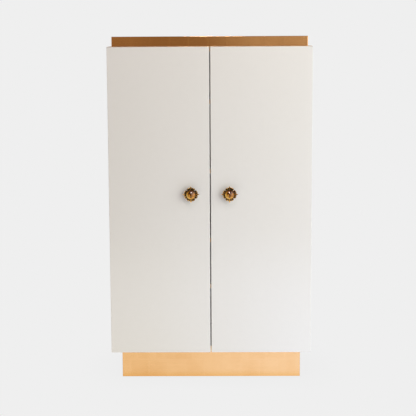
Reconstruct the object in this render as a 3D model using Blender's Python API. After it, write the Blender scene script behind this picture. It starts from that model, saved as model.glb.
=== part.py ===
"""Two-door apothecary cabinet: a lacquered carcase on a recessed gilded plinth,
with a recessed gilded crown, four shelves, six concealed hinges and two
flower-and-stone knobs.

Frame: metres, +Z up, -Y is the front. The origin is the centre of the
bounding box on the floor. Left and right are as seen from the front.
"""

import math

import bmesh
import bpy
from mathutils import Matrix, Vector

MM = 0.001

# ---------------------------------------------------------------- dimensions
W = 889.0            # body width, over the doors
H = 1524.0           # overall height
D = 457.0            # body depth, door face to back
KNOB_OUT = 44.0      # how far a knob stands in front of the door
CROWN_H = 43.0
CROWN_SIDE = 19.3    # the crown stands this far in from the body's sides
CROWN_BACK = 19.3
PLINTH_H = 125.0
PLINTH_SIDE = 44.5
PLINTH_FRONT = 44.0  # behind the door faces
PLINTH_BACK = 20.0
PLINTH_T = 22.0
GLIDE_H = 3.0

BOARD = 22.0         # side and top panels
BOTTOM_T = 25.0
BACK_T = 8.3
REBATE = 10.0        # depth of the back panel's rebate into each side
SHELF_T = 19.0
DADO = 6.0
GAP = 0.3            # clearance where two pieces touch

DOOR_T = 22.0
DOOR_GAP = 3.0       # door back to carcase front
MEETING = 4.4        # between the two doors
REVEAL = 1.0         # the doors stop this far inside the carcase, top and bottom

KNOB_X = 84.5        # from the meeting line
KNOB_Z = 841.0

# hinge geometry, measured from the door's outer edge and back face
PIVOT_IN = 7.0
PIVOT_DEEP = 8.0
CUP_IN = 20.5
CUP_R = 17.2
HINGE_Z = (225.0, 803.0, 1381.0)

# shelf undersides: lower (adjustable), two fixed, upper (adjustable)
SHELF_Z = (413.0, 621.0, 928.0, 1232.5)
PIN_R = 2.4
PIN_HOLE_R = 2.75
PIN_PITCH = 32.0

HALF_Y = (D + KNOB_OUT) / 2
Y_DOOR = -HALF_Y + KNOB_OUT           # door faces
Y_DB = Y_DOOR + DOOR_T                # door backs
Y_C = Y_DB + DOOR_GAP                 # carcase front edges
Y_B = HALF_Y                          # back
Z_BODY = PLINTH_H
Z_TOP = H - CROWN_H
X_IN = W / 2 - BOARD                  # inner faces of the side panels

for old in list(bpy.data.objects):
    bpy.data.objects.remove(old)
SCENE = bpy.context.scene.collection


# ----------------------------------------------------------------- materials
def material(name, rgb, roughness, metallic=0.0):
    m = bpy.data.materials.new(name)
    m.use_nodes = True
    p = m.node_tree.nodes["Principled BSDF"]
    p.inputs["Base Color"].default_value = (*rgb, 1.0)
    p.inputs["Roughness"].default_value = roughness
    p.inputs["Metallic"].default_value = metallic
    m.diffuse_color = (*rgb, 1.0)
    return m


LACQUER = material("ivory_lacquer", (0.80, 0.78, 0.74), 0.18)
SATIN = material("ivory_satin", (0.78, 0.76, 0.71), 0.4)
GILT = material("gold_leaf", (0.80, 0.50, 0.22), 0.35, 0.8)
BRASS = material("knob_brass", (0.70, 0.47, 0.20), 0.2, 1.0)
STONE = material("amber_glass", (0.62, 0.27, 0.05), 0.05)
NICKEL = material("nickel_plate", (0.72, 0.71, 0.69), 0.28, 1.0)
STEEL = material("pin_steel", (0.62, 0.60, 0.57), 0.3, 1.0)
CLEAR = material("bumper_rubber", (0.80, 0.80, 0.78), 0.4)
NYLON = material("glide_nylon", (0.12, 0.12, 0.12), 0.5)


# ------------------------------------------------------------------- helpers
def mesh_of(bm, name):
    bmesh.ops.recalc_face_normals(bm, faces=bm.faces)
    mesh = bpy.data.meshes.new(name)
    bm.to_mesh(mesh)
    bm.free()
    return mesh


def put(name, mesh, mat, origin=(0, 0, 0), parent=None, smooth=None):
    """An object whose mesh is in world millimetres, with its origin at a world point."""
    o = bpy.data.objects.new(name, mesh)
    SCENE.objects.link(o)
    at = Vector(origin)
    if not mesh.get("placed"):
        mesh.transform(Matrix.Scale(MM, 4) @ Matrix.Translation(-at))
        mesh["placed"] = True
    if smooth:
        mesh.shade_smooth()
        mesh.set_sharp_from_angle(angle=math.radians(smooth))
    mesh.materials.clear()
    mesh.materials.append(mat)
    if parent is None:
        o.location = at * MM
    else:
        o.parent = parent
        o.location = at * MM - parent.location
    return o


def helper(mesh, name):
    o = bpy.data.objects.new(name, mesh)
    SCENE.objects.link(o)
    mesh.transform(Matrix.Scale(MM, 4))
    o.hide_render = True
    o.display_type = "WIRE"
    return o


def cut(o, cutter, operation="DIFFERENCE"):
    m = o.modifiers.new("cut", "BOOLEAN")
    m.operation = operation
    m.solver = "EXACT"
    m.object = cutter
    return m


def add_box(bm, lo, hi, bevel=0.0, segments=1):
    made = bmesh.ops.create_cube(bm, size=1.0)
    lo, hi = Vector(lo), Vector(hi)
    size = hi - lo
    bmesh.ops.scale(bm, vec=size, verts=made["verts"])
    bmesh.ops.translate(bm, vec=(lo + hi) / 2, verts=made["verts"])
    if bevel:
        edges = {e for v in made["verts"] for e in v.link_edges}
        bmesh.ops.bevel(bm, geom=list(edges), offset=bevel, segments=segments,
                        profile=0.5, affect="EDGES")


def box_mesh(name, lo, hi, bevel=0.0, segments=1):
    bm = bmesh.new()
    add_box(bm, lo, hi, bevel, segments)
    return mesh_of(bm, name)


def add_cylinder(bm, centre, axis, radius, length, segments):
    turn = {"X": Matrix.Rotation(math.pi / 2, 4, "Y"),
            "Y": Matrix.Rotation(-math.pi / 2, 4, "X"),
            "Z": Matrix.Identity(4)}[axis]
    bmesh.ops.create_cone(bm, cap_ends=True, segments=segments, radius1=radius,
                          radius2=radius, depth=length,
                          matrix=Matrix.Translation(centre) @ turn)


def add_prism(bm, outline, low, high, axis="Z"):
    """A polygon extruded along an axis. The outline holds the other two coordinates, in X, Y, Z order."""
    def point(p, h):
        if axis == "Z":
            return (p[0], p[1], h)
        if axis == "Y":
            return (p[0], h, p[1])
        return (h, p[0], p[1])
    a = [bm.verts.new(point(p, low)) for p in outline]
    b = [bm.verts.new(point(p, high)) for p in outline]
    n = len(outline)
    bm.faces.new(a[::-1])
    bm.faces.new(b)
    for i in range(n):
        bm.faces.new((a[i], a[(i + 1) % n], b[(i + 1) % n], b[i]))


def add_lathe(bm, profile, centre, segments, axis="Y"):
    """A closed turned body. The profile runs (radius, height) from one end on the axis to the other."""
    rings = []
    for r, h in profile:
        ring = []
        for k in range(segments if r > 1e-6 else 1):
            a = 2 * math.pi * k / segments
            if axis == "Y":
                p = (r * math.cos(a), h, r * math.sin(a))
            elif axis == "X":
                p = (h, r * math.cos(a), r * math.sin(a))
            else:
                p = (r * math.cos(a), r * math.sin(a), h)
            ring.append(bm.verts.new(Vector(centre) + Vector(p)))
        rings.append(ring)
    for one, two in zip(rings, rings[1:]):
        for k in range(segments):
            j = (k + 1) % segments
            if len(one) == 1:
                bm.faces.new((one[0], two[k], two[j]))
            elif len(two) == 1:
                bm.faces.new((one[k], one[j], two[0]))
            else:
                bm.faces.new((one[k], one[j], two[j], two[k]))


def combined(name, base, steps):
    """The mesh of a base solid after Boolean steps of (operation, mesh), all in millimetres."""
    o = bpy.data.objects.new(name, base)
    SCENE.objects.link(o)
    tools = []
    for operation, mesh in steps:
        t = bpy.data.objects.new(name + "_tool", mesh)
        SCENE.objects.link(t)
        cut(o, t, operation)
        tools.append(t)
    bpy.context.view_layer.update()
    graph = bpy.context.evaluated_depsgraph_get()
    made = bpy.data.meshes.new_from_object(o.evaluated_get(graph))
    made.name = name
    for t in [o, *tools]:
        bpy.data.objects.remove(t)
    return made


def mirrored(mesh, name):
    """The same shape for the other side of the cabinet."""
    bm = bmesh.new()
    bm.from_mesh(mesh)
    for v in bm.verts:
        v.co.x = -v.co.x
    bmesh.ops.reverse_faces(bm, faces=bm.faces)
    out = bpy.data.meshes.new(name)
    bm.to_mesh(out)
    bm.free()
    return out


# ------------------------------------------------------------------- carcase
def shelf_pin_rows():
    """Heights of the pin rows at each adjustable shelf."""
    for z in (SHELF_Z[0], SHELF_Z[3]):
        for k in (-2, -1, 0, 1, 2):
            yield z - GAP - PIN_R + k * PIN_PITCH


PIN_Y = (Y_C + 55.0, Y_B - 62.0)


def side_panel(side, s):
    outer, inner = s * W / 2, s * X_IN
    lo, hi = sorted((outer, inner))
    o = put(f"side_panel_{side}",
            box_mesh("side", (lo, Y_C, Z_BODY), (hi, Y_B, Z_TOP), 1.0, 1), LACQUER,
            (s * (W / 2 - BOARD / 2), 0, Z_BODY))
    bm = bmesh.new()
    for y in PIN_Y:
        for z in shelf_pin_rows():
            add_cylinder(bm, (s * (X_IN + 4.0), y, z), "X", PIN_HOLE_R, 10.0, 10)
    cut(o, helper(mesh_of(bm, "pin_holes"), f"cut_pin_holes_{side}"))
    bm = bmesh.new()
    a, b = sorted((s * (X_IN - 1.0), s * (X_IN + DADO + GAP)))
    for z in (SHELF_Z[1], SHELF_Z[2]):
        add_box(bm, (a, Y_C - 1.0, z - GAP), (b, Y_B + 1.0, z + SHELF_T + GAP))
    cut(o, helper(mesh_of(bm, "dados"), f"cut_dados_{side}"))
    a, b = sorted((s * (X_IN - 1.0), s * (X_IN + REBATE)))
    cut(o, helper(box_mesh("rebate", (a, Y_B - BACK_T - GAP, Z_BODY - 1), (b, Y_B + 1, Z_TOP + 1)),
                  f"cut_rebate_{side}"))


for side_name, sign in (("left", -1), ("right", 1)):
    side_panel(side_name, sign)

put("top_panel", box_mesh("top", (-X_IN + GAP, Y_C, Z_TOP - BOARD),
                          (X_IN - GAP, Y_B - BACK_T - GAP, Z_TOP), 0.6), LACQUER, (0, 0, Z_TOP))
put("bottom_panel", box_mesh("bottom", (-X_IN + GAP, Y_C, Z_BODY),
                             (X_IN - GAP, Y_B - BACK_T - GAP, Z_BODY + BOTTOM_T), 0.6), LACQUER, (0, 0, Z_BODY))
put("back_panel", box_mesh("back", (-X_IN - REBATE + GAP, Y_B - BACK_T, Z_BODY + 0.5),
                           (X_IN + REBATE - GAP, Y_B, Z_TOP - 0.5), 0.4), SATIN, (0, Y_B, Z_BODY))

# crown: a recessed slab on the top panel
put("crown", box_mesh("crown", (-W / 2 + CROWN_SIDE, Y_C + 2.0, Z_TOP + GAP),
                      (W / 2 - CROWN_SIDE, Y_B - CROWN_BACK, H), 0.8), GILT, (0, 0, Z_TOP))

# plinth: four mitred boards, on nail-on glides
PX = W / 2 - PLINTH_SIDE
PY0 = Y_DOOR + PLINTH_FRONT
PY1 = Y_B - PLINTH_BACK
M = GAP / 2
T = PLINTH_T


def plinth_board(name, outline, origin):
    bm = bmesh.new()
    add_prism(bm, outline, GLIDE_H + GAP, PLINTH_H - GAP)
    put(name, mesh_of(bm, name), GILT, origin)


plinth_board("plinth_front", [(-PX + M, PY0), (PX - M, PY0), (PX - T - M, PY0 + T), (-PX + T + M, PY0 + T)],
             (0, PY0, 0))
plinth_board("plinth_back", [(-PX + M, PY1), (-PX + T + M, PY1 - T), (PX - T - M, PY1 - T), (PX - M, PY1)],
             (0, PY1, 0))
plinth_board("plinth_left", [(-PX, PY0 + M), (-PX + T, PY0 + T + M), (-PX + T, PY1 - T - M), (-PX, PY1 - M)],
             (-PX, 0, 0))
plinth_board("plinth_right", [(PX, PY0 + M), (PX, PY1 - M), (PX - T, PY1 - T - M), (PX - T, PY0 + T + M)],
             (PX, 0, 0))
for name, x, y in (("glide_front_left", -1, -1), ("glide_front_right", 1, -1),
                   ("glide_back_left", -1, 1), ("glide_back_right", 1, 1)):
    centre = (x * (PX - 11.0), (PY0 + 60.0) if y < 0 else (PY1 - 60.0), 0.0)
    bm = bmesh.new()
    add_lathe(bm, [(0, 0), (7.6, 0), (9.0, 1.0), (9.0, GLIDE_H), (0, GLIDE_H)], centre, 20, "Z")
    put(name, mesh_of(bm, name), NYLON, centre, smooth=40)

# shelves: the two in the middle are housed in the sides, the others rest on pins
for name, z, fixed in (("shelf_lower_adjustable", SHELF_Z[0], False),
                       ("shelf_middle_fixed", SHELF_Z[1], True),
                       ("shelf_upper_fixed", SHELF_Z[2], True),
                       ("shelf_top_adjustable", SHELF_Z[3], False)):
    half = X_IN + DADO if fixed else X_IN - 1.6
    front = Y_C + (1.5 if fixed else 3.0)
    back = Y_B - BACK_T - (GAP if fixed else 2.0)
    put(name, box_mesh(name, (-half, front, z), (half, back, z + SHELF_T), 0.6), SATIN, (0, 0, z))

for label, z in (("lower", SHELF_Z[0]), ("top", SHELF_Z[3])):
    for side_name, s in (("left", -1), ("right", 1)):
        for where, y in zip(("front", "back"), PIN_Y):
            bm = bmesh.new()
            zc = z - GAP - PIN_R
            add_lathe(bm, [(0, 8.0), (1.8, 8.0), (PIN_R, 7.2), (PIN_R, -GAP), (3.9, -GAP),
                           (3.9, -1.2), (PIN_R, -1.2), (PIN_R, -9.4), (1.9, -10.0), (0, -10.0)],
                      (0, 0, 0), 12, "X")
            for v in bm.verts:
                v.co = Vector((s * (X_IN + v.co.x), y + v.co.y, zc + v.co.z))
            put(f"shelf_pin_{label}_{where}_{side_name}", mesh_of(bm, "pin"), STEEL,
                (s * X_IN, y, zc), smooth=40)


# --------------------------------------------------------------------- doors
def pivot(s):
    return Vector((s * (W / 2 - PIVOT_IN), Y_DB - PIVOT_DEEP, 0.0))


EMPTIES = {}
for side_name, s in (("left", -1), ("right", 1)):
    e = bpy.data.objects.new(f"door_{side_name}_pivot", None)
    SCENE.objects.link(e)
    e.location = pivot(s) * MM
    EMPTIES[s] = e

Z_D0, Z_D1 = Z_BODY + REVEAL, Z_TOP - REVEAL


def door(side, s):
    lo, hi = sorted((s * W / 2, s * MEETING / 2))
    o = put(f"door_{side}", box_mesh("door", (lo, Y_DOOR, Z_D0), (hi, Y_DB, Z_D1), 1.4, 2),
            LACQUER, pivot(s), EMPTIES[s], smooth=50)
    bm = bmesh.new()
    for z in HINGE_Z:
        add_cylinder(bm, (s * (W / 2 - CUP_IN), Y_DB - 13.8 + 10.0, z), "Y", CUP_R + 0.3, 20.0, 40)
    cut(o, helper(mesh_of(bm, "cup_bores"), f"cut_cup_bores_{side}"))
    bm = bmesh.new()
    add_cylinder(bm, (s * KNOB_X, (Y_DOOR + Y_DB) / 2, KNOB_Z), "Y", 2.6, DOOR_T + 4, 16)
    cut(o, helper(mesh_of(bm, "knob_hole"), f"cut_knob_hole_{side}"))


# -------------------------------------------------------------------- hinges
# Left-hand shapes, at z 0: u is the distance in from the cabinet's outer edge.
def u(x):
    return -W / 2 + x


def cup_mesh():
    """A stamped cup with a screw flange. The pivot's ends run in two holes in its wall."""
    bm = bmesh.new()
    outline = []
    for k in range(36):
        a = 2 * math.pi * k / 36
        outline.append((u(CUP_IN) + 18.3 * math.cos(a), 18.3 * math.sin(a)))
    add_prism(bm, outline, Y_DB + 0.3, Y_DB + 1.1, "Y")
    flange = mesh_of(bm, "flange")
    bm = bmesh.new()
    ear = []
    for cz, a0 in ((24.0, 0), (-24.0, math.pi)):
        for k in range(9):
            a = a0 + math.pi * k / 8
            ear.append((u(CUP_IN + 5.5) + 6.5 * math.cos(a), cz + 6.5 * math.sin(a)))
    add_prism(bm, ear, Y_DB + 0.35, Y_DB + 1.05, "Y")
    ears = mesh_of(bm, "ears")
    bm = bmesh.new()
    add_cylinder(bm, (u(CUP_IN), Y_DB - 13.3 + 7.0, 0), "Y", CUP_R, 14.0, 36)
    body = mesh_of(bm, "body")
    bm = bmesh.new()
    add_cylinder(bm, (u(CUP_IN), Y_DB - 12.5 + 10.0, 0), "Y", CUP_R - 0.9, 20.0, 36)
    hollow = mesh_of(bm, "hollow")
    bm = bmesh.new()
    add_cylinder(bm, (u(PIVOT_IN), Y_DB - PIVOT_DEEP, 0), "Z", 1.3, 40.0, 12)
    holes = mesh_of(bm, "holes")
    bm = bmesh.new()
    for cz in (24.0, -24.0):
        add_lathe(bm, [(0, Y_DB + 0.7), (3.6, Y_DB + 0.7), (3.4, Y_DB + 1.5), (2.2, Y_DB + 2.0), (0, Y_DB + 2.0)],
                  (u(CUP_IN + 5.5), 0, cz), 16, "Y")
    heads = mesh_of(bm, "heads")
    return combined("hinge_cup", flange, [("UNION", ears), ("UNION", body), ("DIFFERENCE", hollow),
                                          ("DIFFERENCE", holes), ("UNION", heads)])


def arm_mesh():
    """The pivot, the crooked neck that reaches into the cup, and the channel over the mounting plate."""
    px, py = PIVOT_IN, Y_DB - PIVOT_DEEP
    neck = [(px - 1.7, py), (px - 1.2, py + 1.2), (px, py + 1.7), (px + 1.2, py + 1.2), (px + 1.7, py),
            (px + 2.4, py - 1.5), (px + 3.6, py - 1.9), (24.4, py - 1.9), (25.2, py - 1.1), (25.4, py),
            (25.4, Y_C + 3.5), (25.6, Y_C + 5.5), (26.4, Y_C + 8.0), (28.5, Y_C + 8.0), (28.5, Y_C + 4.6),
            (27.6, Y_C + 3.8), (27.2, Y_C + 3.0), (27.2, py - 1.2), (26.4, py - 2.8), (24.8, py - 3.7),
            (px + 0.4, py - 3.7), (px - 1.0, py - 3.1), (px - 1.7, py - 1.8)]
    bm = bmesh.new()
    add_prism(bm, [(u(x), y) for x, y in neck], -4.0, 4.0)
    base = mesh_of(bm, "neck")
    bm = bmesh.new()
    add_cylinder(bm, (u(px), py, 0), "Z", 1.0, 19.0, 12)
    pin = mesh_of(bm, "pivot_pin")
    bm = bmesh.new()
    channel = [(26.4, Y_C + 7.0), (30.0, Y_C + 4.2), (35.0, Y_C + 7.0), (37.5, Y_C + 13.0), (37.5, Y_C + 60.0),
               (35.5, Y_C + 64.0), (26.4, Y_C + 66.0)]
    add_prism(bm, [(u(x), y) for x, y in channel], -7.5, 7.5)
    body = mesh_of(bm, "channel")
    bm = bmesh.new()
    add_box(bm, (u(30.0), Y_C + 22.0, -2.6), (u(40.0), Y_C + 35.0, 2.6))
    slot = mesh_of(bm, "slot")
    bm = bmesh.new()
    add_lathe(bm, [(0, 33.0), (3.4, 33.0), (3.4, 38.3), (2.9, 38.8), (0, 38.8)], (u(0), Y_C + 48.0, 0), 16, "X")
    add_lathe(bm, [(0, 33.0), (2.5, 33.0), (2.5, 38.1), (2.1, 38.5), (0, 38.5)], (u(0), Y_C + 15.5, 0), 14, "X")
    screws = mesh_of(bm, "screws")
    return combined("hinge_arm", base, [("UNION", pin), ("UNION", body), ("DIFFERENCE", slot), ("UNION", screws)])


def plate_mesh():
    """The mounting plate on the side panel, with its two screw heads."""
    bm = bmesh.new()
    add_box(bm, (u(BOARD + 0.3), Y_C + 11.0, -6.6), (u(BOARD + 4.1), Y_C + 62.0, 6.6), 0.7)
    base = mesh_of(bm, "spine")
    bm = bmesh.new()
    wing = [(Y_C + 30.0, -25.0), (Y_C + 44.0, -25.0), (Y_C + 46.5, -22.0), (Y_C + 46.5, 22.0),
            (Y_C + 44.0, 25.0), (Y_C + 30.0, 25.0), (Y_C + 27.5, 22.0), (Y_C + 27.5, -22.0)]
    add_prism(bm, wing, u(BOARD + 0.35), u(BOARD + 2.6), "X")
    wings = mesh_of(bm, "wings")
    bm = bmesh.new()
    for cz in (16.0, -16.0):
        add_lathe(bm, [(0, 24.0), (4.2, 24.0), (4.0, 25.3), (2.6, 26.0), (0, 26.0)], (u(0), Y_C + 37.0, cz), 16, "X")
    heads = mesh_of(bm, "heads")
    return combined("hinge_plate", base, [("UNION", wings), ("UNION", heads)])


HINGE = {"cup": cup_mesh(), "arm": arm_mesh(), "plate": plate_mesh()}
HINGE_R = {k: mirrored(m, m.name + "_right") for k, m in HINGE.items()}
for side_name, s, kit in (("left", -1, HINGE), ("right", 1, HINGE_R)):
    door(side_name, s)
    for label, z in zip(("bottom", "middle", "top"), HINGE_Z):
        for part in ("cup", "arm", "plate"):
            origin = pivot(s) if part == "cup" else Vector((s * X_IN, Y_C + 37.0, 0.0))
            o = put(f"hinge_{part}_{label}_{side_name}", kit[part], NICKEL, origin,
                    EMPTIES[s] if part == "cup" else None, smooth=35)
            o.location.z += z * MM


# --------------------------------------------------------------------- knobs
# Shapes at x 0, z 0; p is the distance in front of the door face.
def front(p):
    return Y_DOOR - p


def rosette_mesh():
    """Turned foot and stem, with a blind hole for the screw."""
    profile = [(0, 9.0), (2.3, 9.0), (2.3, 0.3), (16.0, 0.3), (17.0, 1.2), (17.0, 2.4), (15.0, 3.6), (11.0, 4.6),
               (8.6, 6.6), (8.0, 9.6), (8.6, 12.2), (10.6, 14.4), (12.4, 15.4), (12.4, 16.0), (0, 16.0)]
    bm = bmesh.new()
    add_lathe(bm, [(r, front(p)) for r, p in profile], (0, 0, 0), 32)
    return mesh_of(bm, "knob_rosette")


STAR_STEPS = 6       # around each petal
TIP = (37.3, 31.6)   # pointed petals on the axes, round ones between them
VALLEY = 28.0
SHARE = ((1.0, 0.62, 0.25, 0.0), (1.0, 0.92, 0.62, 0.0))
DISH_R = 21.0        # flat seat for the stone


def star_radius(k):
    """The rim's radius at step k, and how near that is to a petal's middle."""
    petal, step = divmod(k + STAR_STEPS // 2, STAR_STEPS)
    off = abs(step - STAR_STEPS // 2)
    kind = petal % 2
    return VALLEY + (TIP[kind] - VALLEY) * SHARE[kind][off], 1.0 - off / 3.0


def star_mesh():
    """A dish of eight petals, each with a raised midrib. The four on the axes are longer and pointed."""
    bm = bmesh.new()
    n = 8 * STAR_STEPS
    shares = (0.0, 0.25, 0.5, 0.75, 1.0)
    front_rings, back_rings = [], []
    for t in shares:
        ring_f, ring_b = [], []
        for k in range(n):
            a = 2 * math.pi * k / n
            edge, mid = star_radius(k)
            r = DISH_R + (edge - DISH_R) * t
            p = 19.3 + 9.5 * t ** 1.35 + (1.5 * mid * math.sin(math.pi * min(t, 0.92)) if t else 0.0)
            thick = 3.0 - 1.9 * t
            ring_f.append(bm.verts.new((r * math.sin(a), front(p), r * math.cos(a))))
            ring_b.append(bm.verts.new((r * math.sin(a), front(p - thick), r * math.cos(a))))
        front_rings.append(ring_f)
        back_rings.append(ring_b)
    for rings in (front_rings, back_rings):
        for one, two in zip(rings, rings[1:]):
            for k in range(n):
                j = (k + 1) % n
                bm.faces.new((one[k], one[j], two[j], two[k]))
    for k in range(n):
        j = (k + 1) % n
        bm.faces.new((front_rings[-1][k], front_rings[-1][j], back_rings[-1][j], back_rings[-1][k]))
    bm.faces.new(front_rings[0])
    bm.faces.new(back_rings[0])
    return mesh_of(bm, "knob_star")


def claw_mesh():
    """The ring of eight pointed claws that holds the stone, turned half a petal from the star."""
    bm = bmesh.new()
    n = 48
    section = []
    for k in range(n):
        a = 2 * math.pi * k / n
        phase = abs(((k + 3) % 6) - 3) / 3.0      # 0 at a claw, 1 between two
        top = 35.8 - 5.2 * phase ** 0.8
        flare = (top - 19.6) / 16.2
        points = [(15.9, 19.6), (19.4, 19.6), (20.3 + 2.9 * flare, top), (19.1 + 1.9 * flare, top)]
        section.append([bm.verts.new((r * math.sin(a + math.pi / 8), front(p), r * math.cos(a + math.pi / 8)))
                        for r, p in points])
    for k in range(n):
        j = (k + 1) % n
        for i in range(4):
            m = (i + 1) % 4
            bm.faces.new((section[k][i], section[k][m], section[j][m], section[j][i]))
    return mesh_of(bm, "knob_claws")


def stone_mesh():
    """A cut stone: a small octagonal table, two rows of crown facets, a girdle and a pavilion."""
    rings = [(2.0, 20.3, 8, 0.0), (11.2, 26.2, 8, 0.5), (20.0, 33.2, 16, 0.0), (20.0, 34.2, 16, 0.0),
             (14.0, 39.2, 8, 0.5), (5.0, 44.0, 8, 0.0)]
    bm = bmesh.new()
    for r, p, n, shift in rings:
        for k in range(n):
            a = 2 * math.pi * (k + shift) / n
            bm.verts.new((r * math.sin(a), front(p), r * math.cos(a)))
    bmesh.ops.convex_hull(bm, input=bm.verts)
    return mesh_of(bm, "knob_stone")


def screw_mesh():
    """The machine screw through the door, with its pan head inside."""
    profile = [(0, -DOOR_T - 2.9), (3.2, -DOOR_T - 2.9), (4.3, -DOOR_T - 1.9), (4.5, -DOOR_T - 0.3),
               (2.0, -DOOR_T - 0.3), (2.0, 7.6), (1.4, 8.4), (0, 8.4)]
    bm = bmesh.new()
    add_lathe(bm, [(r, front(p)) for r, p in profile], (0, 0, 0), 20)
    return mesh_of(bm, "knob_screw")


def bumper_mesh():
    bm = bmesh.new()
    add_lathe(bm, [(0, Y_DB + 0.3), (4.6, Y_DB + 0.3), (4.6, Y_DB + 1.6), (3.6, Y_DB + 2.6), (0, Y_DB + 2.6)],
              (0, 0, 0), 20)
    return mesh_of(bm, "bumper")


KNOB = (("rosette", rosette_mesh, BRASS, 35), ("star", star_mesh, BRASS, None), ("claws", claw_mesh, BRASS, 30),
        ("stone", stone_mesh, STONE, None), ("screw", screw_mesh, NICKEL, 35))
for part, make, mat, smooth in KNOB:
    mesh = make()
    for side_name, s in (("left", -1), ("right", 1)):
        o = put(f"knob_{part}_{side_name}", mesh, mat, (0, Y_DOOR, 0), EMPTIES[s], smooth)
        o.location = Vector((s * KNOB_X, Y_DOOR, KNOB_Z)) * MM - EMPTIES[s].location
mesh = bumper_mesh()
for side_name, s in (("left", -1), ("right", 1)):
    for label, z in (("bottom", Z_BODY + BOTTOM_T / 2), ("top", Z_TOP - BOARD / 2)):
        o = put(f"door_bumper_{label}_{side_name}", mesh, CLEAR, (0, Y_DB, 0), EMPTIES[s], 40)
        o.location = Vector((s * 14.0, Y_DB, z)) * MM - EMPTIES[s].location
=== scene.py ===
"""Looks of the two-door lacquer and gold-leaf cabinet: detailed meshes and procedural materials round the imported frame."""

import math

import bmesh
import bpy
from mathutils import Matrix, Vector


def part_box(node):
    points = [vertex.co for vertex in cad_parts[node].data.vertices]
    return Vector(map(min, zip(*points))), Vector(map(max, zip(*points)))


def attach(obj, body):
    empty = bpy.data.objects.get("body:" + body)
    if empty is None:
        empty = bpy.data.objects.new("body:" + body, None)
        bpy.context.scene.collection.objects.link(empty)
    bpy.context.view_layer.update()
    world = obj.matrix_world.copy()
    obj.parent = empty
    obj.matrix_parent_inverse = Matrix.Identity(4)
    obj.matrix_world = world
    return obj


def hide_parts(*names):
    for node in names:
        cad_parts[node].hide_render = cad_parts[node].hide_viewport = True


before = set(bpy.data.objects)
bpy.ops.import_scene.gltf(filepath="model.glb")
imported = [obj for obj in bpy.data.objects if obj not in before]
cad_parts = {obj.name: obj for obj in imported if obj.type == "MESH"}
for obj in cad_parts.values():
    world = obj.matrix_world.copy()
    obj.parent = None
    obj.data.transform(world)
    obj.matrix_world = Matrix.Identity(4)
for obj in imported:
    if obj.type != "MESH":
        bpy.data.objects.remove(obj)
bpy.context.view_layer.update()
SCENE = bpy.context.scene
LINK = SCENE.collection.objects.link
MM = 0.001
BODY = {"left": "left_door", "right": "right_door"}


# =============================================================== node helpers
class Nodes:
    """A short way to write a material's node tree."""

    def __init__(self, name):
        self.mat = bpy.data.materials.new(name)
        self.mat.use_nodes = True
        self.tree = self.mat.node_tree
        self.shader = self.tree.nodes["Principled BSDF"]
        self.out = self.tree.nodes["Material Output"]

    def add(self, kind, **inputs):
        n = self.tree.nodes.new("ShaderNode" + kind)
        props = inputs.pop("props", {})
        for k, v in props.items():
            setattr(n, k, v)
        for k, v in inputs.items():
            key = int(k[1:]) if k.startswith("_") else k.replace("_", " ")
            self.plug(v, n.inputs[key])
        return n

    def plug(self, value, socket):
        if isinstance(value, bpy.types.NodeSocket):
            self.tree.links.new(value, socket)
        elif isinstance(value, bpy.types.Node):
            self.tree.links.new(value.outputs[0], socket)
        elif isinstance(value, (tuple, list)) and len(value) == 3 and socket.type == "RGBA":
            socket.default_value = (*value, 1.0)
        else:
            socket.default_value = value

    def set(self, **inputs):
        for k, v in inputs.items():
            self.plug(v, self.shader.inputs[k.replace("_", " ")])

    def math(self, operation, a, b=0.0, clamp=False):
        n = self.tree.nodes.new("ShaderNodeMath")
        n.operation = operation
        n.use_clamp = clamp
        self.plug(a, n.inputs[0])
        self.plug(b, n.inputs[1])
        return n.outputs[0]

    def mix(self, fac, a, b, blend="MIX"):
        n = self.tree.nodes.new("ShaderNodeMix")
        n.data_type = "RGBA"
        n.blend_type = blend
        self.plug(fac, n.inputs[0])
        self.plug(a, n.inputs[6])
        self.plug(b, n.inputs[7])
        return n.outputs[2]

    def span(self, value, lo, hi, to_lo=0.0, to_hi=1.0, smooth=False):
        n = self.tree.nodes.new("ShaderNodeMapRange")
        if smooth:
            n.interpolation_type = "SMOOTHSTEP"
        self.plug(value, n.inputs[0])
        for i, v in enumerate((lo, hi, to_lo, to_hi)):
            self.plug(v, n.inputs[1 + i])
        return n.outputs[0]

    def object_coords(self, scale=(1, 1, 1)):
        co = self.tree.nodes.new("ShaderNodeTexCoord").outputs["Object"]
        return self.add("Mapping", Vector=co, Scale=scale).outputs[0]

    def uv(self, scale=(1, 1, 1), shift=(0, 0, 0)):
        co = self.tree.nodes.new("ShaderNodeUVMap").outputs["UV"]
        return self.add("Mapping", Vector=co, Scale=scale, Location=shift).outputs[0]

    def noise(self, at, scale, detail=3.0, rough=0.5, distortion=0.0, out=0):
        n = self.add("TexNoise", Vector=at, Scale=scale, Detail=detail, Roughness=rough, Distortion=distortion)
        return n.outputs[out]

    def bump(self, height, distance, strength=1.0, normal=None):
        n = self.add("Bump", Height=height, Distance=distance, Strength=strength)
        if normal is not None:
            self.plug(normal, n.inputs["Normal"])
        return n.outputs[0]

    def done(self, preview):
        self.mat.diffuse_color = (*preview, 1.0)
        return self.mat


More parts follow.
